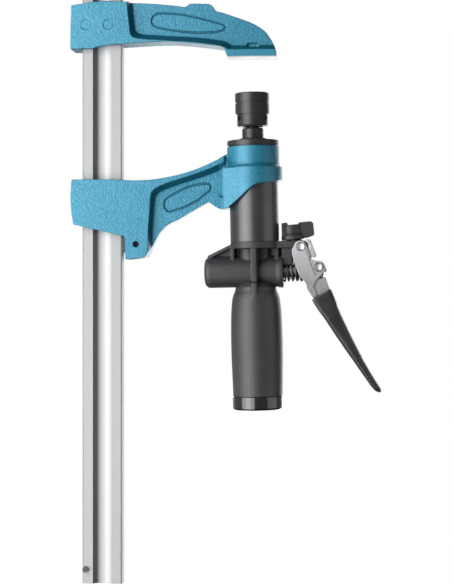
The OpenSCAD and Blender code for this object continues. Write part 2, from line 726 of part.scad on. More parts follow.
module pressure_cap() color([0.2, 0.2, 0.2]) unit() {
    bevel = cap_r / 24;
    translate([0, 0, cup_top]) rotate_extrude() polygon([
        [0, 0], [cap_r - cap_groove, 0], [cap_r - cap_groove, cap_groove], [cap_r, cap_groove],
        [cap_r, cap_h - bevel], [cap_r - bevel, cap_h], [0, cap_h]]);
}

// Pump housing

strut_half = lug_half * 0.6;
knob_x = pivot_x - knob_r * 0.78;
knob_seat = strut_t * 0.3;
stub_end = grip_top - grip_r * 0.7;
chamber_r = 3.4;
chamber_x = -plunger_r;
port_r = 1.6;
check_r = 3;
plug_r = 5;
plug_t = 1.5;
// Oblong column round both valves, from the plate through the cross tube into the grip
column_r = plug_r + 3 * plug_t;
column_side = -chamber_x * 0.75;
delivery_seat = cross_z + plunger_r + port_r * 2.4;
suction_seat = stub_end + plug_t * 2;
bore_end = chamber_x - plunger_r / 3;
slot_play = 0.45;
slot_room = pin_r + slot_play;
collar_x = drive_x - slot_room - spring_collar_t - plunger_r * 0.27;
strut_shares = [[-1, -0.36], [-1.95, -1.96]];

module pump_housing() color([0.2, 0.2, 0.21]) unit() {
    difference() {
        union() {
            translate([0, 0, plate_end]) cylinder(r = tube_r, h = plate_h);
            translate([0, -lug_half, plate_end]) cube([pivot_x, 2 * lug_half, plate_h]);
            difference() {
                translate([pivot_x, 0, pivot_z]) cross_pin(lug_r, 2 * lug_half);
                translate([pivot_x - lug_r, -lug_half - over, tube_end])
                    cube([2 * lug_r, 2 * (lug_half + over), lug_r]);
            }
            translate([0, 0, stub_end]) valve_column(0, plate_end - stub_end);
            cross_tube();
            at_seat() translate([0, 0, -plate_h / 2])
                cylinder(r = knob_r * 0.9, h = knob_seat + plate_h / 2);
            housing_ribs();
        }
        translate([0, 0, spigot_end]) cylinder(r = neck_r + fit_gap, h = plate_h);
        // Plunger bore and its seal groove
        translate([bore_end, 0, cross_z]) rotate([0, 90, 0]) {
            cylinder(r = plunger_r + run_gap, h = cross_out + over - bore_end);
            translate([0, 0, seal_x - bore_end]) cylinder(r = plunger_r + seal_t, h = seal_w);
        }
        // Delivery valve above the bore, suction valve below it
        translate([chamber_x, 0, 0]) {
            translate([0, 0, cross_z]) cylinder(r = port_r, h = spigot_end - cross_z);
            translate([0, 0, delivery_seat]) cylinder(r = chamber_r, h = spigot_end - delivery_seat);
            translate([0, 0, spigot_end - plug_t]) cylinder(r = plug_r, h = plug_t + over);
            translate([0, 0, suction_seat])
                cylinder(r = chamber_r, h = cross_z - plunger_r - port_r * 2 - suction_seat);
            translate([0, 0, suction_seat]) cylinder(r = port_r, h = cross_z - suction_seat);
            translate([0, 0, stub_end - over]) cylinder(r = plug_r, h = suction_seat - stub_end + over);
        }
        // Release valve's spindle, ball and drain, on the knob's line
        at_seat() {
            translate([0, 0, -spindle_deep]) cylinder(r = spindle_r + run_gap, h = spindle_deep * 2);
            translate([0, 0, -o_ring_deep]) cylinder(r = spindle_r + seal_t / 2, h = seal_w);
        }
        translate([pivot_x, 0, pivot_z]) cross_pin(pin_r + fit_gap, 2 * lug_half + 2 * over);
    }
}

seal_w = 3;
seal_x = cross_out - 2 * seal_w;
spindle_deep = plate_h * 1.1;
o_ring_deep = plate_h * 0.6;

module valve_column(extra, h) {
    for (x = [-column_side, column_side]) translate([x, 0, 0]) cylinder(r = column_r + extra, h = h);
    translate([-column_side, -column_r - extra, 0]) cube([2 * column_side, 2 * (column_r + extra), h]);
}

// Cross tube along X, closed and rounded at the rail's side
module cross_tube() {
    length = cross_out + cross_in;
    collar = strut_t;
    translate([-cross_in, 0, cross_z]) rotate([0, 90, 0]) rotate_extrude() polygon(concat(
        [[0, length], [0, 0]],
        arc([cross_r - cross_round, cross_round], cross_round, -90, 0, 8),
        [[cross_r, length - 2 * collar], [cross_r + collar / 4, length - collar],
            [cross_r + collar / 4, length]]));
}

module housing_ribs() {
    rib_r = tube_r * 0.97;
    rib_end = cross_z - cross_r * 0.66;
    strut = scaled(strut_shares, [tube_r, plate_h]);
    fall = unit_vector([strut[1].x - strut[0].x, strut[1].y - strut[0].y]);
    thick = strut_t * [-fall.y, fall.x];
    inner = column_side + column_r * 0.8;
    web_low = -cross_drop + spring_r + 2 * side_gap;
    difference() {
        translate([-rib_t / 2, -rib_r, rib_end]) cube([rib_t, 2 * rib_r, plate_end - rib_end]);
        translate([0, 0, stub_end]) grip_solid(fit_gap);
    }
    for (x = [-rib_r, rib_r - rib_t * 0.7]) translate([x, -strut_half * 1.5, cross_z + cross_r * 0.6])
        cube([rib_t * 0.7, strut_half * 3, plate_end - cross_z - cross_r * 0.6]);
    translate([0, 0, tube_end]) {
        slab([strut[0], strut[1], strut[1] + thick, strut[0] + thick], 2 * strut_half);
        slab([strut[0], strut[1], [strut[1].x + cross_round, -cross_drop], [-inner, -cross_drop],
            [-inner, -plate_h]], strut_t);
        slab([[inner, -plate_h], [pivot_x - lug_r, -plate_h], [pivot_x, -pivot_drop - lug_r * 0.9],
            [pivot_x - lug_r * 0.8, web_low], [cross_out * 0.9, web_low],
            [inner, -cross_drop + cross_r * 0.5]], strut_t * 2);
    }
}

// Handle

grip_shares = [[0.35, 0.075], [0.5, 0.06], [0.66, 0.035], [0.78, 0.002], [0.81, -0.03],
    [0.875, -0.065], [0.925, -0.11], [0.965, -0.2], [0.99, -0.33], [1, -0.5], [0.993, -0.68],
    [0.967, -0.9], [0.96, -1]];
function grip_points(extra) = let (
    z = [for (s = grip_shares) [s.x * grip_r + extra, grip_top - stub_end + s.y * (grip_top - grip_end)]])
    smooth(z);

module grip_solid(extra) {
    points = grip_points(extra);
    rotate_extrude() polygon(concat([[0, points[0].y]], points, [[0, points[len(points) - 1].y]]));
}

module handle_grip() color([0.16, 0.16, 0.17]) unit() {
    rib_r = tube_r * 0.97;
    points = grip_points(0);
    hollow = [for (p = points) if (p.y < grip_stub_low) [p.x - grip_wall, p.y]];
    difference() {
        union() {
            translate([0, 0, stub_end]) grip_solid(0);
            translate([-rib_t / 2, -rib_r, grip_top - grip_r * 0.5])
                cube([rib_t, 2 * rib_r, grip_r * 0.68]);
        }
        translate([-cross_in * 1.2, 0, cross_z]) rotate([0, 90, 0])
            cylinder(r = cross_r + fit_gap, h = cross_in * 2.4);
        translate([0, 0, stub_end - over]) valve_column(fit_gap, grip_r * 2);
        translate([0, 0, stub_end]) rotate_extrude() polygon(concat(
            [[0, hollow[0].y], [hollow[0].x * 0.7, hollow[0].y]], hollow,
            [[hollow[len(hollow) - 1].x, grip_end - stub_end - over],
                [0, grip_end - stub_end - over]]));
    }
}
grip_stub_low = -grip_r * 0.12;

bladder_r = grip_r * 0.74;
module reservoir_bladder() color([0.15, 0.12, 0.1]) unit() {
    wall = grip_wall / 2;
    top = stub_end - grip_r * 0.3;
    low = grip_end + end_cap_h * 0.4;
    difference() {
        union() {
            translate([0, 0, low]) cylinder(r = bladder_r, h = top - low);
            translate([0, 0, top]) ring(bladder_r * 0.6, bladder_r, wall);
        }
        translate([0, 0, low + wall]) cylinder(r = bladder_r - wall, h = top - low);
    }
}

module end_cap() color([0.1, 0.1, 0.11]) unit() {
    round_r = end_cap_h * 0.2;
    spigot = grip_r * 0.96 - grip_wall - fit_gap;
    spigot_h = end_cap_h * 0.35;
    groove_z = spigot_h * 0.3;
    translate([0, 0, grip_end]) rotate_extrude() polygon(concat(
        [[0, spigot_h], [0, -end_cap_h]],
        arc([end_cap_r - round_r, round_r - end_cap_h], round_r, -90, 0, 8),
        [[end_cap_r, -fit_gap], [spigot, -fit_gap], [spigot, groove_z],
            [spigot - cap_seal, groove_z], [spigot - cap_seal, groove_z + cap_seal],
            [spigot, groove_z + cap_seal], [spigot, spigot_h]]));
}
cap_seal = 1.5;

module end_cap_o_ring() color([0.08, 0.08, 0.08]) unit() {
    spigot = grip_r * 0.96 - grip_wall - fit_gap;
    translate([0, 0, grip_end + end_cap_h * 0.105 + fit_gap])
        ring(spigot - cap_seal + fit_gap, spigot, cap_seal - 2 * fit_gap);
}

// Pump plunger, seal, collar and return spring

head_half = lug_half * 0.62;
module pump_plunger() color("silver") unit() {
    tip = chamber_x + plunger_r * 2;
    eye_room = slot_room + plunger_r * 0.27;
    difference() {
        union() {
            translate([tip, 0, cross_z]) rotate([0, 90, 0])
                cylinder(r = plunger_r, h = drive_x - eye_room - tip + over);
            translate([drive_x, 0, cross_z]) for (z = [-slot_travel, slot_travel])
                translate([0, 0, z]) cross_pin(eye_room, 2 * head_half);
            translate([drive_x - eye_room, -head_half, cross_z - slot_travel])
                cube([2 * eye_room, 2 * head_half, 2 * slot_travel]);
        }
        translate([drive_x, 0, cross_z]) for (z = [-slot_travel, slot_travel])
            translate([0, 0, z]) cross_pin(slot_room, 3 * head_half);
        translate([drive_x - slot_room, -2 * head_half, cross_z - slot_travel])
            cube([2 * slot_room, 4 * head_half, 2 * slot_travel]);
    }
}
// The drive pin's rise and fall across the plunger's line over the whole squeeze
slot_travel = max(abs(drive_z - cross_z),
    abs(pivot_z - drive_out * sin(lever_squeeze) - drive_down * cos(lever_squeeze) - cross_z)) + side_gap;

module plunger_seal() color([0.1, 0.1, 0.1]) unit() {
    translate([seal_x + fit_gap, 0, cross_z]) rotate([0, 90, 0])
        ring(plunger_r + run_gap, plunger_r + seal_t - fit_gap, seal_w - 2 * fit_gap);
}

module spring_collar() color([0.15, 0.15, 0.15]) unit() {
    translate([collar_x, 0, cross_z]) rotate([0, 90, 0])
        ring(plunger_r + fit_gap, spring_r, spring_collar_t);
}

spring_mid = spring_r - spring_wire_r;
spring_len = collar_x - cross_out - 2 * fit_gap;
module return_spring() color([0.12, 0.12, 0.12]) unit() {
    translate([cross_out + fit_gap, 0, cross_z]) rotate([0, 90, 0])
        coil(spring_mid, spring_len, spring_turns, spring_wire_r);
}

// Check valves

check_wire = 0.3;
check_mid = 1.6;
check_turns = 4;
delivery_ball = delivery_seat + check_r;
suction_ball = suction_seat + check_r;
suction_top = cross_z - plunger_r - port_r * 2;

module check_balls() color("silver") unit() {
    for (z = [delivery_ball, suction_ball]) translate([chamber_x, 0, z]) sphere(r = check_r);
}

module check_springs() color("silver") unit() {
    for (span = [[delivery_ball, spigot_end - plug_t], [suction_ball, suction_top]])
        translate([chamber_x, 0, span[0] + check_r * 0.9])
            coil(check_mid, span[1] - span[0] - check_r * 0.9 - 2 * fit_gap, check_turns, check_wire);
}

module valve_plugs() color("goldenrod") unit() {
    for (z = [spigot_end - plug_t, suction_seat - plug_t]) translate([chamber_x, 0, z])
        ring(port_r, plug_r - fit_gap, plug_t - fit_gap);
}

// Lever

yoke_left_shares = [[-0.052, -0.018], [-0.0505, -0.045], [-0.042, -0.08], [-0.022, -0.145],
    [0, -0.19], [0.013, -0.2], [0.03, -0.225], [0.036, -0.255], [0.062, -0.3], [0.074, -0.313]];
// Where the raised face ends over the stem, from the left edge up to the ear
face_edge_shares = [[0.045, -0.272], [0.0619, -0.2503], [0.0736, -0.2362], [0.0835, -0.2208],
    [0.0916, -0.2059]];
// The ear about the drive pin, in radii of the pin, from its foot up to the plate's back edge
ear_shares = [[0.32, -3.32], [1.44, -2.17], [2.5, -1.2], [2.56, -0.9], [1.96, 0.7], [1.38, 1.8],
    [1.2, 1.98], [-0.5, 2.2], [-1.66, 2.46], [-2.45, 2.84]];
yoke_notch_shares = [[0.114, -0.196], [0.1078, -0.1915]];
yoke_back_shares = [[0.0567, -0.0582], [0.0454, -0.0219]];
tongue_shares = [[0.0283, 0.0435], [0.0613, 0.0416], [0.0629, 0.0319], [0.0954, -0.057],
    [0.0715, -0.0655], [0.062, -0.06], [0.042, -0.05], [0.0465, -0.018], [0.0545, 0.0021]];
stem_shares = [[0.1456, -0.1872], [0.157, -0.2222], [0.168, -0.258], [0.176, -0.302],
    [0.2, -0.375], [0.148, -0.41]];
eye_r = pin_r * 2.05;
sleeve_start_shares = [0.119, -0.288];
sleeve_dir = 29.2;

function lever_points(shares) = [for (s = shares) s * lever_len];

// Outlines of one yoke plate: the whole of it, and its raised face, which stops short of the stem
function yoke_head() = concat(
    [for (e = ear_shares) [drive_out, -drive_down] + pin_r * e],
    lever_points(yoke_back_shares),
    arc([0, 0], eye_r, 15, 150, 12));
function yoke_outline() = concat(
    yoke_head(), smooth(lever_points(yoke_left_shares)),
    reverse(lever_points(stem_shares)), lever_points(yoke_notch_shares));
function yoke_face() = concat(
    yoke_head(), smooth(lever_points([for (i = [0 : 7]) yoke_left_shares[i]])),
    lever_points(face_edge_shares));

module lever_yoke() color("silver") at_pivot() {
    stem = lever_points(stem_shares);
    last = len(stem) - 2;
    floor_t = plate_t * 0.55;
    difference() {
        union() {
            for (side = [-1, 1]) translate([0, side * lever_in, 0]) {
                translate([0, side * floor_t / 2, 0]) slab(yoke_outline(), floor_t);
                translate([0, side * plate_t / 2, 0]) slab(yoke_face(), plate_t);
            }
            slab(concat([for (i = [0 : last]) stem[i]],
                [for (i = [last : -1 : 0]) stem[i] - [plate_t, 0]]), 2 * lever_in + floor_t);
            slab(lever_points(tongue_shares), 2 * lever_in + floor_t);
        }
        cross_pin(pin_r + run_gap, 3 * lever_out);
        translate([drive_out, 0, -drive_down]) cross_pin(pin_r + fit_gap, 3 * lever_out);
    }
}

// Sleeve stations along its length: share of length, of width each side, of thickness, and
// how soft the section's corners are
sleeve_shares = [
    [0, 0.5, 0.5, 1, 0.2], [0.05, 0.5, 0.47, 1, 0.22], [0.12, 0.49, 0.42, 1, 0.26],
    [0.16, 0.46, 0.365, 1, 0.3], [0.22, 0.44, 0.32, 0.98, 0.35], [0.4, 0.395, 0.235, 0.82, 0.5],
    [0.52, 0.35, 0.195, 0.75, 0.6], [0.68, 0.28, 0.14, 0.64, 0.62], [0.8, 0.235, 0.135, 0.56, 0.62],
    [0.9, 0.19, 0.14, 0.48, 0.62], [0.96, 0.14, 0.155, 0.42, 0.62], [0.985, 0.06, 0.14, 0.34, 0.62],
    [1, -0.02, 0.1, 0.22, 0.62]];
sleeve_len = lever_len * 0.69;

function rounded(value, power) = sign(value) * pow(abs(value), power);
function sleeve_ring(s, inset) = let (
    left = s[1] * sleeve_w - inset,
    right = s[2] * sleeve_w - inset,
    half = s[3] * sleeve_t / 2 - inset)
    [for (i = [0 : facet_fn - 1]) let (a = 360 * i / facet_fn)
        [(right - left) / 2 + (right + left) / 2 * rounded(cos(a), s[4]), half * rounded(sin(a), s[4])]];

module sleeve_solid(inset, last) {
    points = [for (k = [0 : last]) each [for (p = sleeve_ring(sleeve_shares[k], inset))
        [p.x, p.y, -sleeve_shares[k][0] * sleeve_len + (k == 0 && inset > 0 ? over : 0)]]];
    n = facet_fn;
    polyhedron(points, concat(
        [[for (i = [n - 1 : -1 : 0]) i]],
        [[for (i = [0 : n - 1]) last * n + i]],
        [for (k = [0 : last - 1]) for (i = [0 : n - 1]) each [
            [k * n + i, k * n + (i + 1) % n, (k + 1) * n + (i + 1) % n],
            [k * n + i, (k + 1) * n + (i + 1) % n, (k + 1) * n + i]]]));
}

module lever_sleeve() color([0.12, 0.12, 0.12]) at_pivot() {
    start = sleeve_start_shares * lever_len;
    translate([start.x, 0, start.y]) rotate([0, -sleeve_dir, 0]) difference() {
        sleeve_solid(0, len(sleeve_shares) - 1);
        sleeve_solid(sleeve_wall, 4);
    }
}

clip_x_places = [[0, 0], [drive_out, -drive_down]];
pin_len = 2 * (lever_out + clip_t + fit_gap + clip_t / 2);

module pivot_pin() color("lightgray") at_pivot() {
    cross_pin(pin_r, pin_len);
}

module drive_pin() color("lightgray") at_pivot() {
    translate([drive_out, 0, -drive_down]) cross_pin(pin_r, pin_len);
}

module pin_clips() color("gray") at_pivot() {
    for (p = clip_x_places) for (side = [-1, 1])
        translate([p.x, side * (lever_out + fit_gap + clip_t / 2), p.y]) difference() {
            cross_pin(clip_r, clip_t);
            cross_pin(pin_r + fit_gap, clip_t * 2);
        }
}

// Release valve

module release_knob() color([0.13, 0.13, 0.14]) at_knob() {
    base = knob_seat + side_gap;
    wing_low = base + knob_r * 0.05;
    wing_top = knob_h + wing_rise;
    soft = knob_r * 0.2;
    difference() {
        union() {
            rotate_extrude() polygon([
                [0, base], [knob_r * 1.16, base], [knob_r * 1.16, knob_collar_h - soft],
                [knob_r * 1.08, knob_collar_h - soft / 2], [knob_r * 0.93, knob_collar_h - soft / 2],
                [knob_r * 0.93, knob_collar_h], [knob_r, knob_collar_h + soft / 2],
                [knob_r, knob_h - soft / 2], [knob_r * 0.92, knob_h], [0, knob_h]]);
            slab([[knob_r * 0.9, wing_low], [wing_out * 0.7, wing_low], [wing_out, wing_low + soft],
                [wing_out, wing_top - soft], [wing_out - soft, wing_top],
                [knob_r * 0.75, wing_top], [knob_r * 0.6, knob_h - soft], [knob_r * 0.6, wing_low]],
                wing_w);
            slab([[-knob_r * 1.08, base], [-knob_r * 1.08, knob_collar_h],
                [-knob_r, wing_top], [-knob_r * 0.95, wing_top + soft / 2],
                [-knob_r * 0.42, wing_top + soft / 2], [-knob_r * 0.36, knob_h - soft],
                [-knob_r * 0.36, base]], wing_w);
        }
        translate([0, 0, -over]) cylinder(r = spindle_r + fit_gap, h = knob_h * 0.6 + over);
    }
}

module valve_spindle() color("lightgray") at_knob() {
    deep = spindle_deep - check_r;
    translate([0, 0, -deep]) cylinder(r = spindle_r, h = deep + knob_h * 0.6 - fit_gap);
}

module valve_o_ring() color([0.08, 0.08, 0.08]) at_knob() {
    translate([0, 0, -o_ring_deep + fit_gap])
        ring(spindle_r + run_gap, spindle_r + seal_t / 2 - fit_gap, seal_w - 2 * fit_gap);
}

module valve_ball() color("silver") at_knob() {
    r = spindle_r * 0.45;
    translate([0, 0, -spindle_deep + r]) sphere(r = r);
}

echo(return_spring_gap = coil_gap(spring_mid, spring_len, spring_turns, spring_wire_r));
echo(brake_spring_gap = coil_gap(brake_spring_r - brake_spring_wire, brake_spring_len, brake_turns,
    brake_spring_wire));
echo(ram_spring_gap = coil_gap(ram_spring_mid, ram_spring_len, ram_turns, ram_wire_r));

rail();
rail_stop_pin();
fixed_jaw();
jaw_rivets();
sliding_arm();
brake_shoe();
brake_pin();
brake_spring();
cylinder_tube();
gland_nut();
rod_wiper();
ram_rod();
piston();
piston_seal();
ram_return_spring();
swivel_seat();
swivel_cup();
pressure_cap();
cup_screws();
pump_housing();
handle_grip();
reservoir_bladder();
end_cap();
end_cap_o_ring();
pump_plunger();
plunger_seal();
spring_collar();
return_spring();
check_balls();
check_springs();
valve_plugs();
lever_yoke();
lever_sleeve();
pivot_pin();
drive_pin();
pin_clips();
release_knob();
valve_spindle();
valve_o_ring();
valve_ball();
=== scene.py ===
import json
import math

import bmesh
import bpy
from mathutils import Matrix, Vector
from mathutils.bvhtree import BVHTree


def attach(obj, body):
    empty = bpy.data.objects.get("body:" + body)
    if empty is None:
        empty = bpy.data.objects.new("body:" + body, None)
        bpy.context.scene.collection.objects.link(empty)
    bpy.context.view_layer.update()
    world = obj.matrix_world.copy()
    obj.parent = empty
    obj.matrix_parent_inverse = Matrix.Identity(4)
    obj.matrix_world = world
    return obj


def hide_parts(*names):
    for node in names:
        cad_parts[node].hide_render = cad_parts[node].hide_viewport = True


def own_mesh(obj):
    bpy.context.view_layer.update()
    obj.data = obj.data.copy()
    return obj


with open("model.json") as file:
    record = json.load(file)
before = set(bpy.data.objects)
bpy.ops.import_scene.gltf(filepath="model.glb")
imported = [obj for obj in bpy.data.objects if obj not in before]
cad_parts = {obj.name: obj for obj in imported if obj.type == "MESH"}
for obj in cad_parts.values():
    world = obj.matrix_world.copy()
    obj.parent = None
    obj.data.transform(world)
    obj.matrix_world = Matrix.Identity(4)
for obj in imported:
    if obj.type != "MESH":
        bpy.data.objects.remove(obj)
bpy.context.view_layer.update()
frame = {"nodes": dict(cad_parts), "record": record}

MM = 0.001
LEAN = math.radians(1.13)
UNIT_X = Vector((math.cos(LEAN), 0, math.sin(LEAN)))
UNIT_Z = Vector((-math.sin(LEAN), 0, math.cos(LEAN)))
BOSS_TOP = -77.3 * MM


def unit(x, z, y=0.0):
    """A point of the leaning hydraulic unit, from millimetres about the boss's top."""
    return UNIT_X * (x * MM) + UNIT_Z * (z * MM + BOSS_TOP) + Vector((0, y * MM, 0))


# Camera and light

scene = bpy.context.scene
scene.view_settings.view_transform = "Standard"
scene.view_settings.look = "None"
scene.view_settings.exposure = 0
scene.view_settings.gamma = 1

UPRIGHT = math.radians(90)
YAW = math.radians(5)
DISTANCE = 1.53
TARGET = Vector((-0.0223, 0, -0.204))
SENSOR = 36
PHOTO_WIDTH = 452
FOCAL_PIXELS = 1748.6
FAR_CLIP = 30

camera_data = bpy.data.cameras.new("camera")
camera = bpy.data.objects.new("camera", camera_data)
scene.collection.objects.link(camera)
camera_data.sensor_fit = "HORIZONTAL"
camera_data.sensor_width = SENSOR
camera_data.lens = SENSOR * FOCAL_PIXELS / PHOTO_WIDTH
camera_data.clip_end = FAR_CLIP
camera.location = TARGET + Vector((math.sin(YAW), -math.cos(YAW), 0)) * DISTANCE
camera.rotation_euler = (UPRIGHT, 0, YAW)
scene.camera = camera

# The room is a sky of light, by direction: degrees from the front towards +X, and its radiance
SKY = [(-180, 1.0), (-150, 0.75), (-118, 0.35), (-90, 0.5), (-14, 0.35), (-4, 0.22), (15, 0.18),
       (45, 0.27), (110, 0.3), (150, 0.8), (180, 1.0)]
SKY_LEVEL = 0.62
# It fades between two heights to a share of its level, and sooner below the horizon than above
SKY_FADE = (0.42, 0.8)
SKY_FADED = 0.1
SKY_UNDER = 2.2

world = bpy.data.worlds.new("studio")
scene.world = world
world.use_nodes = True
sky_nodes, sky_links = world.node_tree.nodes, world.node_tree.links
sky_nodes.clear()


def sky_node(kind, inputs=(), **settings):
    """A world node with its first inputs linked or set."""
    node = sky_nodes.new(kind)
    for key, value in settings.items():
        setattr(node, key, value)
    for socket, value in zip(node.inputs, inputs):
        if isinstance(value, bpy.types.NodeSocket):
            sky_links.new(value, socket)
        elif value is not None:
            socket.default_value = value
    return node


direction = sky_node("ShaderNodeTexCoord").outputs["Generated"]
parts = sky_node("ShaderNodeSeparateXYZ", (direction,)).outputs
behind = sky_node("ShaderNodeMath", (parts["Y"], -1.0), operation="MULTIPLY").outputs[0]
compass = sky_node("ShaderNodeMath", (parts["X"], behind), operation="ARCTAN2").outputs[0]
turn = sky_node("ShaderNodeMapRange", (compass, -math.pi, math.pi)).outputs[0]
ramp_node = sky_node("ShaderNodeValToRGB", (turn,))
ramp = ramp_node.color_ramp
for i, (degrees, radiance) in enumerate(SKY):
    place = (degrees + 180) / 360
    if i in (0, len(SKY) - 1):
        stop = ramp.elements[0 if i == 0 else -1]
        stop.position = place
    else:
        stop = ramp.elements.new(place)
    stop.color = (radiance, radiance, radiance, 1)
under = sky_node("ShaderNodeMath", (parts["Z"], -SKY_UNDER), operation="MULTIPLY").outputs[0]
height = sky_node("ShaderNodeMath", (parts["Z"], under), operation="MAXIMUM").outputs[0]
fade = sky_node("ShaderNodeMapRange", (height, *SKY_FADE, 1.0, SKY_FADED), interpolation_type="SMOOTHSTEP")
strength = sky_node("ShaderNodeMath", (fade.outputs[0], SKY_LEVEL), operation="MULTIPLY").outputs[0]
lit = sky_node("ShaderNodeBackground", (ramp_node.outputs[0], strength)).outputs[0]
seen = sky_node("ShaderNodeBackground", ((1, 1, 1, 1), 1.0)).outputs[0]
eye = sky_node("ShaderNodeLightPath").outputs["Is Camera Ray"]
both = sky_node("ShaderNodeMixShader", (eye, lit, seen)).outputs[0]
sky_node("ShaderNodeOutputWorld", (both,))


def panel(name, azimuth, away, size, height, radiance, face=None):
    """A flat light that stands near the clamp, in degrees from the front and metres, with radiance 1
    for white. It faces the clamp, or the direction given."""
    data = bpy.data.lights.new(name, "AREA")
    data.shape = "RECTANGLE"
    data.size, data.size_y = size
    data.energy = radiance * math.pi * size[0] * size[1]
    obj = bpy.data.objects.new(name, data)
    scene.collection.objects.link(obj)
    turned = math.radians(azimuth)
    obj.location = (away * math.sin(turned), -away * math.cos(turned), height)
    obj.rotation_euler = (UPRIGHT, 0, turned if face is None else math.radians(face))
    obj.visible_camera = False


panel("key", azimuth=-42, away=0.6, size=(0.68, 1.3), height=-0.2, radiance=3.2)
panel("key_core", azimuth=-41, away=0.59, size=(0.24, 1.2), height=-0.2, radiance=1.7)
panel("right_card", azimuth=66, away=0.31, size=(0.28, 0.36), height=-0.24, radiance=0.85, face=90)
panel("back", azimuth=165, away=0.9, size=(0.9, 1.3), height=-0.2, radiance=2.4)


# Materials

class Shader:
    """Short calls for building one node material on object coordinates in metres."""

    def __init__(self, name, colour, roughness, metallic=0.0, **sockets):
        self.material = bpy.data.materials.new(name)
        self.material.use_nodes = True
        self.nodes = self.material.node_tree.nodes
        self.links = self.material.node_tree.links
        self.bsdf = self.nodes["Principled BSDF"]
        self.set("Base Color", (*colour, 1))
        self.set("Roughness", roughness)
        self.set("Metallic", metallic)
        for key, value in sockets.items():
            self.set(key.replace("_", " "), value)
        self.coords = self.nodes.new("ShaderNodeTexCoord").outputs["Object"]
        self.height = None

    def set(self, socket, value):
        self.bsdf.inputs[socket].default_value = value

    def mapped(self, stretch, turn):
        """The coordinates, stretched and turned."""
        node = self.nodes.new("ShaderNodeMapping")
        node.inputs["Scale"].default_value = stretch
        node.inputs["Rotation"].default_value = turn
        self.links.new(self.coords, node.inputs["Vector"])
        return node.outputs["Vector"]

    def noise(self, scale, detail=3.0, stretch=None, rough=0.5, turn=(0, 0, 0)):
        node = self.nodes.new("ShaderNodeTexNoise")
        node.inputs["Scale"].default_value = scale
        node.inputs["Detail"].default_value = detail
        node.inputs["Roughness"].default_value = rough
        self.links.new(self.mapped(stretch, turn) if stretch else self.coords, node.inputs["Vector"])
        return node.outputs["Fac"]

    def span(self, value, low, high, out_low=0.0, out_high=1.0):
        """The value brought from one range to another, and held at its ends."""
        node = self.nodes.new("ShaderNodeMapRange")
        node.inputs["From Min"].default_value = low
        node.inputs["From Max"].default_value = high
        node.inputs["To Min"].default_value = out_low
        node.inputs["To Max"].default_value = out_high
        self.links.new(value, node.inputs["Value"])
        return node.outputs["Result"]

    def product(self, a, b):
        node = self.nodes.new("ShaderNodeMath")
        node.operation = "MULTIPLY"
        self.links.new(a, node.inputs[0])
        self.links.new(b, node.inputs[1])
        return node.outputs[0]

    def mix(self, factor, a, b):
        """Two colours, fixed or linked, blended by a linked factor."""
        node = self.nodes.new("ShaderNodeMix")
        node.data_type = "RGBA"
        self.links.new(factor, node.inputs["Factor"])
        for socket, value in ((node.inputs[6], a), (node.inputs[7], b)):
            if isinstance(value, tuple):
                socket.default_value = (*value, 1)
            else:
                self.links.new(value, socket)
        return node.outputs[2]

    def colour(self, value):
        self.links.new(value, self.bsdf.inputs["Base Color"])

    def rough(self, value):
        self.links.new(value, self.bsdf.inputs["Roughness"])

    def bump(self, height, strength, depth):
        """Adds one layer of relief: depth in metres."""
        node = self.nodes.new("ShaderNodeBump")
        if isinstance(strength, (int, float)):
            node.inputs["Strength"].default_value = strength
        else:
            self.links.new(strength, node.inputs["Strength"])
        node.inputs["Distance"].default_value = depth
        self.links.new(height, node.inputs["Height"])
        if self.height:
            self.links.new(self.height, node.inputs["Normal"])
        self.height = node.outputs["Normal"]
        self.links.new(self.height, self.bsdf.inputs["Normal"])

    def attribute(self, name):
        """A value that the mesh carries."""
        node = self.nodes.new("ShaderNodeAttribute")
        node.attribute_name = name
        return node.outputs["Fac"]

    def facing(self, axis):
        """One part of the surface's own normal, on the object's axes."""
        node = self.nodes.new("ShaderNodeSeparateXYZ")
        self.links.new(self.coords.node.outputs["Normal"], node.inputs[0])
        return node.outputs[axis]

    def position(self, axis):
        """One coordinate of the surface, on the object's axes."""
        node = self.nodes.new("ShaderNodeSeparateXYZ")
        self.links.new(self.coords, node.inputs[0])
        return node.outputs[axis]

    def between(self, axis, start, end, out_low=0.0, out_high=1.0):
        """A ramp from one place on an axis to another, in millimetres."""
        return self.span(self.position(axis), start * MM, end * MM, out_low, out_high)


X_AXIS, Z_AXIS = 0, 2

# The paint's dimples are weaker on the nose and the boss, from left to right
SMOOTH_NOSE = (-31, -26)


def blue_paint():
    """Hammered paint in close tones, darkened as painted shade where the mesh is marked."""
    s = Shader("blue_hammered_paint", (0.0175, 0.183, 0.285), 0.42, 0.3, Coat_Weight=0.22,
               Coat_Roughness=0.3)
    dimple = s.noise(620, 2.5, rough=0.55)
    grain = s.noise(1500, 2, rough=0.6)
    cloud = s.noise(38, 4)
    face = s.mix(s.span(cloud, 0.35, 0.65), (0.0122, 0.165, 0.263), (0.0185, 0.19, 0.293))
    face = s.mix(s.span(dimple, 0.45, 0.7), face, (0.038, 0.24, 0.345))
    # Painted shade: where the mesh is marked the paint turns dark blue
    s.colour(s.mix(s.attribute("painted_shade"), face, (0.003, 0.1, 0.16)))
    s.rough(s.span(grain, 0.35, 0.65, 0.34, 0.52))
    s.bump(dimple, s.between(X_AXIS, *SMOOTH_NOSE, 0.75, 0.4), 0.0007)
    s.bump(grain, 0.35, 0.0002)
    return s.material


# Where the rail's tone changes, from the first place to the second, in millimetres on X: painted highlight
# on the groove's floor, painted shade on its left wall, a darker left edge and a lighter right side
GROOVE_LIGHT_START = (-133.5, -124.5)
GROOVE_LIGHT_END = (-122.2, -122.8)
LEFT_EDGE = (-147.4, -147.8)
RIGHT_SIDE = (-114.5, -113.8)
LEFT_WALL_SHADE = (-129.5, -132.5)


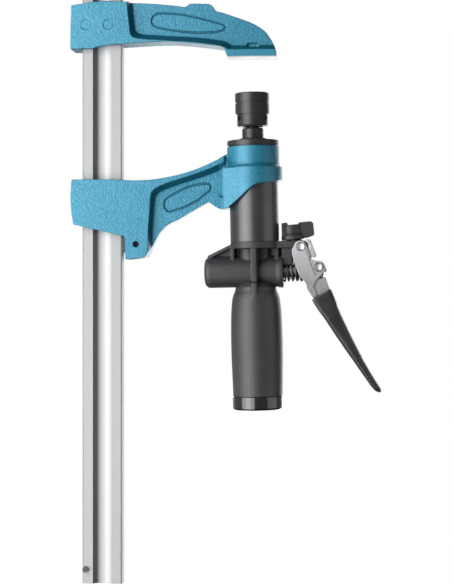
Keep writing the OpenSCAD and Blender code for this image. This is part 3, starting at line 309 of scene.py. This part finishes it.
def rail_steel():
    """Plated bar with streaks along it: painted highlight on the groove's floor, painted shade on the
    groove's left wall, darker along its left edge and lighter on its right side.
    """
    s = Shader("zinc_plated_bar", (0.4, 0.405, 0.41), 0.5, 0.3)
    streak = s.noise(60, 4, (16, 16, 0.12), 0.6)
    fine = s.noise(500, 3, (4, 4, 0.1))
    speck = s.noise(900, 2, (1, 1, 0.5), 0.7)
    tone = s.mix(s.span(streak, 0.3, 0.7), (0.3, 0.305, 0.31), (0.35, 0.355, 0.36))
    tone = s.mix(s.span(speck, 0.62, 0.75), tone, (0.24, 0.245, 0.25))
    # Painted highlight on the groove's floor, where it faces the key light
    floor = s.product(s.between(X_AXIS, *GROOVE_LIGHT_START), s.between(X_AXIS, *GROOVE_LIGHT_END))
    tone = s.mix(floor, tone, (0.5, 0.505, 0.51))
    tone = s.mix(s.between(X_AXIS, *LEFT_EDGE), tone, (0.17, 0.17, 0.175))
    tone = s.mix(s.between(X_AXIS, *RIGHT_SIDE), tone, (0.5, 0.5, 0.51))
    # Painted shade on the groove's left wall, where it faces away from the key light
    wall = s.product(s.span(s.facing(X_AXIS), 0.12, 0.5), s.between(X_AXIS, *LEFT_WALL_SHADE))
    s.colour(s.mix(wall, tone, (0.1, 0.1, 0.105)))
    s.rough(s.span(streak, 0.3, 0.7, 0.46, 0.6))
    s.bump(streak, 0.12, 0.0003)
    s.bump(fine, 0.15, 0.0002)
    return s.material


def steel(name, colour, rough, metal=1.0, lines=(1, 1, 60), depth=0.00006, **sockets):
    """Turned or ground metal: fine lines round the unit's axis."""
    s = Shader(name, colour, rough, metal, **sockets)
    line = s.noise(260, 3, lines, turn=(0, -LEAN, 0))
    cloud = s.noise(45, 3)
    dark = tuple(c * 0.8 for c in colour)
    light = tuple(min(1, c * 1.15) for c in colour)
    s.colour(s.mix(s.span(cloud, 0.35, 0.65), dark, light))
    s.rough(s.span(line, 0.3, 0.7, rough - 0.06, rough + 0.08))
    s.bump(line, 0.25, depth)
    return s.material


def plastic(name, colour, rough, grain=1400, depth=0.00012, strength=0.35, **sockets):
    """Moulded plastic or rubber: a fine spark-eroded grain."""
    s = Shader(name, colour, rough, 0.0, **sockets)
    fine = s.noise(grain, 2, rough=0.6)
    cloud = s.noise(30, 4)
    dark = tuple(c * 0.82 for c in colour)
    light = tuple(c * 1.2 for c in colour)
    s.colour(s.mix(s.span(cloud, 0.35, 0.65), dark, light))
    s.rough(s.span(fine, 0.3, 0.7, rough - 0.07, rough + 0.07))
    s.bump(fine, strength, depth)
    return s.material


# The lever's cast metal is brighter above, between these heights
BRIGHT_TOP = (-200, -165)


def lever_metal():
    """Pitted cast metal."""
    s = Shader("lever_cast_metal", (0.56, 0.57, 0.585), 0.5, 0.55)
    grain = s.noise(800, 3)
    pits = s.noise(330, 3, rough=0.6)
    cloud = s.noise(60, 5)
    tone = s.mix(s.span(cloud, 0.3, 0.7), (0.24, 0.245, 0.257), (0.34, 0.347, 0.355))
    tone = s.mix(s.span(pits, 0.52, 0.72), tone, (0.19, 0.195, 0.203))
    s.colour(s.mix(s.between(Z_AXIS, *BRIGHT_TOP), tone, (0.48, 0.487, 0.5)))
    s.rough(s.span(grain, 0.3, 0.7, 0.42, 0.58))
    s.bump(grain, 0.3, 0.0002)
    s.bump(pits, 0.3, 0.0004)
    return s.material


NO_LINES = (1, 1, 1)
BLUE = blue_paint()
RAIL = rail_steel()
BRIGHT = steel("bright_steel", (0.66, 0.67, 0.68), 0.28)
TUBE = steel("black_tube", (0.028, 0.028, 0.032), 0.3, 0.0, depth=0.00003, Specular_IOR_Level=0.9)
BLACK_STEEL = steel("black_oxide", (0.024, 0.024, 0.027), 0.32, 0.0, Specular_IOR_Level=0.5)
# Near black for the brake pin and cup screws, as painted shade of the holes they sit deep in
SHADED = steel("near_black_hole_shade", (0.004, 0.005, 0.008), 0.5, 0.0, Specular_IOR_Level=0.15)
SPRING = steel("spring_wire", (0.02, 0.02, 0.022), 0.3, 0.0, lines=NO_LINES, Specular_IOR_Level=0.9)
BRONZE = steel("turned_bronze", (0.55, 0.36, 0.16), 0.32)
RUBBER = plastic("moulded_rubber", (0.022, 0.022, 0.022), 0.6)
HOUSING = plastic("housing_plastic", (0.03, 0.03, 0.033), 0.48, grain=1100)
GRIP = plastic("grip_plastic", (0.034, 0.034, 0.038), 0.42, grain=1100, depth=0.0002, strength=0.6)
CAP = plastic("cap_gloss", (0.012, 0.012, 0.014), 0.16, grain=600, depth=0.00003, Coat_Weight=1.0,
              Coat_Roughness=0.1)
SLEEVE = plastic("sleeve_dipped", (0.022, 0.022, 0.023), 0.38, grain=500, depth=0.0001)
LEVER = lever_metal()
PIN = steel("polished_pin", (0.6, 0.61, 0.62), 0.42, 0.8, lines=NO_LINES, depth=0.00002)
CLIP = steel("clip_steel", (0.3, 0.3, 0.31), 0.3, 0.8, lines=NO_LINES, depth=0.00002)
# Grey metal for the jaw's pressure face, as a painted reflection of pale light at a grazing angle
FACE = steel("grey_face_painted_reflection", (0.4, 0.41, 0.42), 0.4, 0.6, lines=NO_LINES)

# The rail's stop pin takes black steel as painted shade of the notch it sits in
LOOKS = {
    "rail": RAIL, "rail_stop_pin": BLACK_STEEL, "fixed_jaw": BLUE, "jaw_rivets": BLUE, "sliding_arm": BLUE,
    "brake_shoe": HOUSING, "brake_pin": SHADED, "brake_spring": BRIGHT, "cylinder_tube": TUBE,
    "gland_nut": BLACK_STEEL, "rod_wiper": RUBBER, "ram_rod": BLACK_STEEL, "piston": BRIGHT,
    "piston_seal": RUBBER, "ram_return_spring": SPRING, "swivel_seat": BRONZE,
    "swivel_cup": BLACK_STEEL, "pressure_cap": BLACK_STEEL, "cup_screws": SHADED,
    "pump_housing": HOUSING, "handle_grip": GRIP, "reservoir_bladder": RUBBER, "end_cap": CAP,
    "end_cap_o_ring": RUBBER, "pump_plunger": BRIGHT, "plunger_seal": RUBBER,
    "spring_collar": BLACK_STEEL, "return_spring": SPRING, "check_balls": BRIGHT,
    "check_springs": BRIGHT, "valve_plugs": BRONZE, "lever_yoke": LEVER, "lever_sleeve": SLEEVE,
    "pivot_pin": PIN, "drive_pin": PIN, "pin_clips": CLIP, "release_knob": HOUSING,
    "valve_spindle": BRIGHT, "valve_o_ring": RUBBER, "valve_ball": BRIGHT,
}
BODY = {node: body for body, nodes in frame["record"]["behaviour"]["bodies"].items() for node in nodes}


def dress(obj, material):
    obj.data.materials.clear()
    obj.data.materials.append(material)


for name, obj in frame["nodes"].items():
    for slot in obj.material_slots:
        slot.material = LOOKS[name]
    if not obj.material_slots:
        obj.data.materials.append(LOOKS[name])


# Pieces
CAST = {"voxel": 0.5, "rounds": 3}
SMOOTHING = 0.5
WELD = 0.01


def stand_in(name, obj, node, material):
    """A finished piece in place of one CAD node: same body, same slot."""
    obj.name = name
    dress(obj, material)
    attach(obj, BODY[node])
    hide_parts(node)
    return obj


def applied(obj):
    """The object's mesh with its modifiers applied."""
    deps = bpy.context.evaluated_depsgraph_get()
    mesh = bpy.data.meshes.new_from_object(obj.evaluated_get(deps))
    obj.modifiers.clear()
    obj.data = mesh
    return obj


def softened(node, name, voxel, rounds, extra=None):
    """A copy of a CAD node with its edges rounded as a casting's or moulding's are. The voxel is in
    millimetres, and extra adds to the mesh before that."""
    mesh = frame["nodes"][node].data.copy()
    obj = bpy.data.objects.new(name, mesh)
    scene.collection.objects.link(obj)
    bm = bmesh.new()
    bm.from_mesh(mesh)
    bmesh.ops.remove_doubles(bm, verts=bm.verts, dist=WELD * MM)
    if extra:
        extra(bm)
    bm.to_mesh(mesh)
    bm.free()
    remesh = obj.modifiers.new("remesh", "REMESH")
    remesh.mode = "VOXEL"
    remesh.voxel_size = voxel * MM
    remesh.use_smooth_shade = True
    smooth = obj.modifiers.new("smooth", "SMOOTH")
    smooth.factor = SMOOTHING
    smooth.iterations = rounds
    applied(obj)
    for polygon in obj.data.polygons:
        polygon.use_smooth = True
    return obj


# Marks for painted shade, and where they lie, in millimetres and in shares of the surface's normal
WEB_HALF = 14
WALL_MARK, LINE_MARK, EDGE_MARK, LEDGE_MARK = 1.0, 0.9, 0.6, 0.8
INNER_PLANE = 4.5
WALL_REACH = 2.6
LINE_REACH = 1.3
LEVEL_SLACK = 0.2
LINE_DEPTH = 0.18
LEDGE_RADII = (22.3, 23.4)
LEDGE_HALF = 0.7
WALL_TILT = 0.86
UNDER_TILT = -0.8
TOP_TILT = (0.25, 0.3)
LINE_TILT = 0.3
LEDGE_TILT = 0.8
MARK_ROUNDS = 2


def mark_painted_shade(obj, end_x, ledge=None):
    """Marks where a casting's paint is darkened as painted shade: as far as end_x the walls of its
    recesses, its scribed lines and its upper and lower edges, and past it the ledge round the boss, by its
    centre."""
    mesh = obj.data
    tree = BVHTree.FromObject(obj, bpy.context.evaluated_depsgraph_get())
    ways = [Vector((math.cos(a), 0, math.sin(a))) * LINE_REACH * MM
            for a in (0, math.pi / 4, math.pi / 2, 3 * math.pi / 4)]

    def level(q, side):
        """How far the casting reaches from its middle plane at a place, on one side."""
        start = Vector((q.x, side * (WEB_HALF + 1) * MM, q.z))
        hit = tree.ray_cast(start, Vector((0, -side, 0)), WEB_HALF * MM)
        return abs(hit[0].y) if hit[0] is not None else None

    def wall_mark(v, side):
        n = v.normal
        if abs(n.y) >= WALL_TILT:
            return 0.0
        y = level(v.co + Vector((n.x, 0, n.z)).normalized() * WALL_REACH * MM, side)
        if y is not None and y < abs(v.co.y) + LEVEL_SLACK * MM:
            return WALL_MARK
        upper = abs(n.y) > TOP_TILT[0] and n.z > TOP_TILT[1]
        return EDGE_MARK if upper or n.z < UNDER_TILT else 0.0

    def line_mark(v, side):
        if abs(v.normal.y) <= LINE_TILT:
            return 0.0
        for way in ways:
            pair = level(v.co + way, side), level(v.co - way, side)
            if None not in pair and min(pair) > abs(v.co.y) + LINE_DEPTH * MM:
                return LINE_MARK
        return 0.0

    def on_ledge(v):
        height = (v.co.z - ledge.z) / MM + (v.co.x - ledge.x) * math.sin(LEAN) / MM
        away = math.hypot(v.co.x - ledge.x, v.co.y)
        inner, outer = LEDGE_RADII
        return (abs(height) < LEDGE_HALF and v.co.x > end_x * MM and inner * MM < away < outer * MM
                and abs(v.normal.z) < LEDGE_TILT)

    marks = []
    for v in mesh.vertices:
        mark = 0.0
        if abs(v.co.y) > INNER_PLANE * MM and v.co.x < end_x * MM:
            side = math.copysign(1, v.co.y)
            mark = wall_mark(v, side) or line_mark(v, side)
        if ledge and on_ledge(v):
            mark = LEDGE_MARK
        marks.append(mark)
    near = [[] for _ in marks]
    for e in mesh.edges:
        a, b = e.vertices
        near[a].append(b)
        near[b].append(a)
    for _ in range(MARK_ROUNDS):
        marks = [(mark * 2 + sum(marks[j] for j in beside)) / (2 + len(beside))
                 for mark, beside in zip(marks, near)]
    # The painted shade rides on the mesh, for the paint to read
    attribute = mesh.attributes.new("painted_shade", "FLOAT", "POINT")
    attribute.data.foreach_set("value", marks)


def mesh_object(name, bm, smooth=True):
    """A new object from a bmesh, its faces turned outwards."""
    bmesh.ops.recalc_face_normals(bm, faces=bm.faces)
    mesh = bpy.data.meshes.new(name)
    bm.to_mesh(mesh)
    bm.free()
    for polygon in mesh.polygons:
        polygon.use_smooth = smooth
    obj = bpy.data.objects.new(name, mesh)
    scene.collection.objects.link(obj)
    return obj


def bar_between(bm, ends):
    """A closed bar between two outlines of as many points."""
    first, last = ends
    count = len(first)
    for k in range(count):
        bm.faces.new((first[k], first[(k + 1) % count], last[(k + 1) % count], last[k]))
    bm.faces.new(first[::-1])
    bm.faces.new(last)


def coil(bm, start, along, across, mid_r, length, turns, wire, sides=12, steps=28):
    """One round wire wound into a compression spring, in millimetres from its start."""
    third = along.cross(across)
    tail = third * (2 * wire * MM)
    path = []
    for i in range(turns * steps + 1):
        a = 2 * math.pi * i / steps
        rise = wire + (length - 2 * wire) * i / (turns * steps)
        place = across * (mid_r * math.cos(a)) + third * (mid_r * math.sin(a)) + along * rise
        path.append(start + place * MM)
    path = [path[0] - tail, *path, path[-1] + tail]
    rings = []
    for i, p in enumerate(path):
        ahead = (path[min(i + 1, len(path) - 1)] - path[max(i - 1, 0)]).normalized()
        side = ahead.cross(along).normalized()
        up = side.cross(ahead)
        rings.append([bm.verts.new(p + (side * math.cos(t) + up * math.sin(t)) * (wire * MM))
                      for t in (2 * math.pi * k / sides for k in range(sides))])
    for a, b in zip(rings, rings[1:]):
        for k in range(sides):
            bm.faces.new((a[k], b[k], b[(k + 1) % sides], a[(k + 1) % sides]))
    bm.faces.new(rings[0])
    bm.faces.new(rings[-1][::-1])


def turned(bm, x, z, profile, closed=False, sides=48):
    """A turned piece on a cross line of the unit: profile of radius and distance from the middle plane."""
    rings = []
    for r, y in profile:
        rings.append([bm.verts.new(unit(x + r * math.cos(t), z + r * math.sin(t), y))
                      for t in (2 * math.pi * k / sides for k in range(sides))])
    pairs = list(zip(rings, rings[1:])) + ([(rings[-1], rings[0])] if closed else [])
    for a, b in pairs:
        for k in range(sides):
            bm.faces.new((a[k], b[k], b[(k + 1) % sides], a[(k + 1) % sides]))
    if not closed:
        bm.faces.new(rings[0])
        bm.faces.new(rings[-1][::-1])


def along_line(points, z):
    """Where a line of points, from high to low, crosses height z."""
    for (x0, z0), (x1, z1) in zip(points, points[1:]):
        if z1 <= z <= z0:
            return x0 + (x1 - x0) * (z0 - z) / (z0 - z1)
    return None


def ease(value, low, high):
    """A smooth step from 0 to 1."""
    t = min(1, max(0, (value - low) / (high - low)))
    return t * t * (3 - 2 * t)


# Jaw casting, with its pressure face dressed grey as a painted reflection of pale light
JAW_END = 30
FACE_TOP = 0.9
FACE_LEFT = -25

jaw = softened("fixed_jaw", "fixed_jaw_casting", **CAST)
mark_painted_shade(jaw, JAW_END)
stand_in("fixed_jaw_casting", jaw, "fixed_jaw", BLUE)
jaw.data.materials.append(FACE)
for polygon in jaw.data.polygons:
    if polygon.center.z < FACE_TOP * MM and polygon.center.x > FACE_LEFT * MM:
        polygon.material_index = 1

# Arm casting, whose top flange runs up into the boss in a fillet
FLANGE_END = [(-27.6, -89.2), (-20.6, -89.2), (-20.6, -84.2), (-22.2, -84.5), (-23.6, -85.4),
              (-27.6, -87.4)]
FLANGE_HALF = 9
ARM_END = -27.4
LEDGE_DROP = -15.3


def flange_fillet(bm):
    bar_between(bm, [[bm.verts.new((x * MM, y * MM, z * MM)) for x, z in FLANGE_END]
                     for y in (-FLANGE_HALF, FLANGE_HALF)])


arm = softened("sliding_arm", "sliding_arm_casting", **CAST, extra=flange_fillet)
mark_painted_shade(arm, ARM_END, ledge=unit(0, LEDGE_DROP))
stand_in("sliding_arm_casting", arm, "sliding_arm", BLUE)

# Housing, with the guard that closes it over the return spring
CROSS_Z = -109.0
GUARD = (23.8, 33.0)
GUARD_HALF = 8.2
GUARD_BORE = 10.1
GUARD_TOP = 20.4
ARCH_STEPS = 16


def spring_guard(bm):
    reach = math.acos(GUARD_HALF / GUARD_BORE)
    angles = [reach + (math.pi - 2 * reach) * i / ARCH_STEPS for i in range(ARCH_STEPS + 1)]
    arch = [(GUARD_BORE * math.cos(a), GUARD_BORE * math.sin(a)) for a in angles]
    outline = [*arch, (-GUARD_HALF, GUARD_TOP), (GUARD_HALF, GUARD_TOP)]
    bar_between(bm, [[bm.verts.new(unit(x, CROSS_Z + z, y)) for y, z in outline] for x in GUARD])


housing = softened("pump_housing", "pump_housing_moulding", **CAST, extra=spring_guard)
stand_in("pump_housing_moulding", housing, "pump_housing", HOUSING)

grip = softened("handle_grip", "handle_grip_moulding", voxel=0.6, rounds=6)
stand_in("handle_grip_moulding", grip, "handle_grip", GRIP)

# Lever: the ear of the drive pin lies lower than the face, and the face runs down beside the stem
EAR_LINE = [(46.2, -161.5), (47.77, -167.7), (50.79, -175.48), (52.73, -181.53), (54.25, -185.86),
            (56.84, -189.31)]
EAR_STEP = 0.5
EAR_EASE = 0.7
STEM_LINE = [(56.0, -193.0), (55.1, -197.6), (58.6, -206.2), (61.5, -214.0)]
STEM_STEP = 1.1
STEM_EASE = 1.6
FACE_AT = 12.8
EAR_DEEPEST = FACE_AT - 0.6
STEM_DEEPEST = FACE_AT - STEM_STEP - 0.3
SLEEVE_EDGE = [(52.4, -209.2), (70.0, -201.4)]
SLEEVE_EASE = (-1.2, -0.8)

yoke = softened("lever_yoke", "lever_yoke_casting", voxel=0.4, rounds=3)
for v in yoke.data.vertices:
    x, y, z = v.co / MM
    side = math.copysign(1, y)
    ear = along_line(EAR_LINE, z)
    stem = along_line(STEM_LINE, z)
    (x0, z0), (x1, z1) = SLEEVE_EDGE
    above = z - (z0 + (x - x0) * (z1 - z0) / (x1 - x0))
    if ear is not None and abs(y) > EAR_DEEPEST:
        v.co.y -= side * EAR_STEP * ease(x - ear, 0, EAR_EASE) * MM
    elif stem is not None and STEM_DEEPEST < abs(y) < FACE_AT and above > SLEEVE_EASE[0]:
        target = y + side * STEM_STEP * ease(stem - x, 0, STEM_EASE) * ease(above, *SLEEVE_EASE)
        v.co.y = side * min(abs(target), FACE_AT) * MM
stand_in("lever_yoke_casting", yoke, "lever_yoke", LEVER)

sleeve = softened("lever_sleeve", "lever_sleeve_dipped", voxel=0.6, rounds=8)
stand_in("lever_sleeve_dipped", sleeve, "lever_sleeve", SLEEVE)

knob = softened("release_knob", "release_knob_moulding", voxel=0.35, rounds=3)
stand_in("release_knob_moulding", knob, "release_knob", HOUSING)

# Cross pins with dished ends, and their dished clips, as radius and distance from the middle plane
PIVOT = (40.1, -88.2)
DRIVE = (55.1, -106.4)
PIN_R = 2.6
PIN_END = 13.3
PIN_DISH = 12.85
CLIP_R = 3.88
CLIP_BORE = 2.66
CLIP_BACK = 12.9

pin_profile = [(0.02, PIN_DISH), (0.8, PIN_DISH), (PIN_R - 0.15, PIN_END), (PIN_R, PIN_END - 0.1)]
pin_profile += [(r, -y) for r, y in pin_profile[::-1]]
for node, place in (("pivot_pin", PIVOT), ("drive_pin", DRIVE)):
    bm = bmesh.new()
    turned(bm, *place, pin_profile)
    stand_in(node + "_dished", mesh_object(node, bm, smooth=False), node, PIN)

clip_profile = [(CLIP_BORE, 13.2), (3.5, 13.62), (3.72, 13.6), (CLIP_R, 13.4), (CLIP_R, CLIP_BACK),
                (CLIP_BORE, CLIP_BACK)]
bm = bmesh.new()
for place in (PIVOT, DRIVE):
    for side in (-1, 1):
        turned(bm, *place, [(r, side * y) for r, y in clip_profile], closed=True)
stand_in("pin_clips_dished", mesh_object("pin_clips", bm, smooth=False), "pin_clips", CLIP)

# Springs of round wire; those listed with a joint get a mesh of their own
RIGHT = Vector((1, 0, 0))
DOWN = Vector((0, 0, -1))
PLUNGER_START = unit(24.55, CROSS_Z)
RAM_SPRING_LOW = -56.95
RAM_SPRING_LEN = 43.9
BRAKE_START = Vector((-109.58, 7.2, -166.5)) * MM
BRAKE_FIXED = Vector((-103.5, 7.2, -166.5)) * MM
VALVE_X = -6
VALVE_WIRE = {"along": UNIT_Z, "across": UNIT_X, "mid_r": 1.6, "turns": 4, "wire": 0.3}

SPRINGS = {
    "return_spring": (SPRING, [{"start": PLUNGER_START, "along": UNIT_X, "across": -UNIT_Z,
                                "mid_r": 8.5, "length": 23.8, "turns": 6, "wire": 1.0}]),
    "ram_return_spring": (SPRING, [{"start": unit(0, RAM_SPRING_LOW), "along": UNIT_Z, "across": UNIT_X,
                                    "mid_r": 11.2, "length": RAM_SPRING_LEN, "turns": 8, "wire": 1.0}]),
    "brake_spring": (BRIGHT, [{"start": BRAKE_START, "along": RIGHT, "across": DOWN,
                               "mid_r": 1.6, "length": 6.1, "turns": 4, "wire": 0.3}]),
    "check_springs": (BRIGHT, [{"start": unit(VALVE_X, -93.4), "length": 5.2, **VALVE_WIRE},
                               {"start": unit(VALVE_X, -129.6), "length": 11.2, **VALVE_WIRE}]),
}
SQUEEZED = {"return_spring": ("plunger_slide", UNIT_X, PLUNGER_START, 0.61),
            "ram_return_spring": ("ram_extend", UNIT_Z, unit(0, RAM_SPRING_LOW + RAM_SPRING_LEN), 0.395),
            "brake_spring": ("brake_rock", RIGHT, BRAKE_FIXED, 0.86)}
for node, (material, wires) in SPRINGS.items():
    bm = bmesh.new()
    for wire in wires:
        coil(bm, **wire)
    spring = stand_in(node + "_wire", mesh_object(node, bm), node, material)
    if node in SQUEEZED:
        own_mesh(spring)
